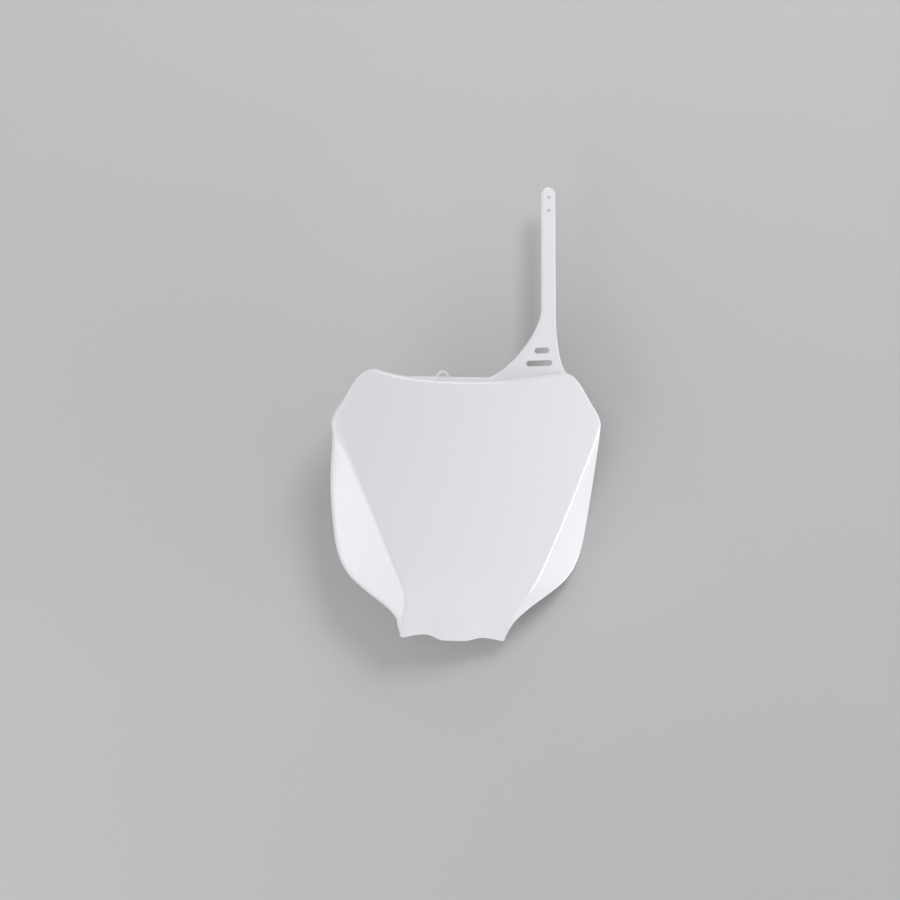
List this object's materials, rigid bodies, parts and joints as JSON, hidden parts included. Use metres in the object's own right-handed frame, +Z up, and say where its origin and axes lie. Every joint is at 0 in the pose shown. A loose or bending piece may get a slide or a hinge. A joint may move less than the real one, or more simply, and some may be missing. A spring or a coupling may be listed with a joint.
{
  "type": "motocross number board",
  "caption": "Shield-shaped front number board with folded side panels, a notched tongue, rear locating pins and a long offset fastening strap with slots, moulded in one piece.",
  "frame": {"origin": "midway between the two rear locating pins, in the plane of their seats", "axes": "+X to the viewer's right of someone who faces the board, +Y out of its back along the pins, +Z up along the strap"},
  "size_m": [0.2478, 0.0552, 0.4135],
  "materials": {
    "white_plastic": "glossy injection-moulded polypropylene, white with a slight cool tint"
  },
  "bodies": {
    "root": {"number_board": "white_plastic"}
  },
  "joints": []
}
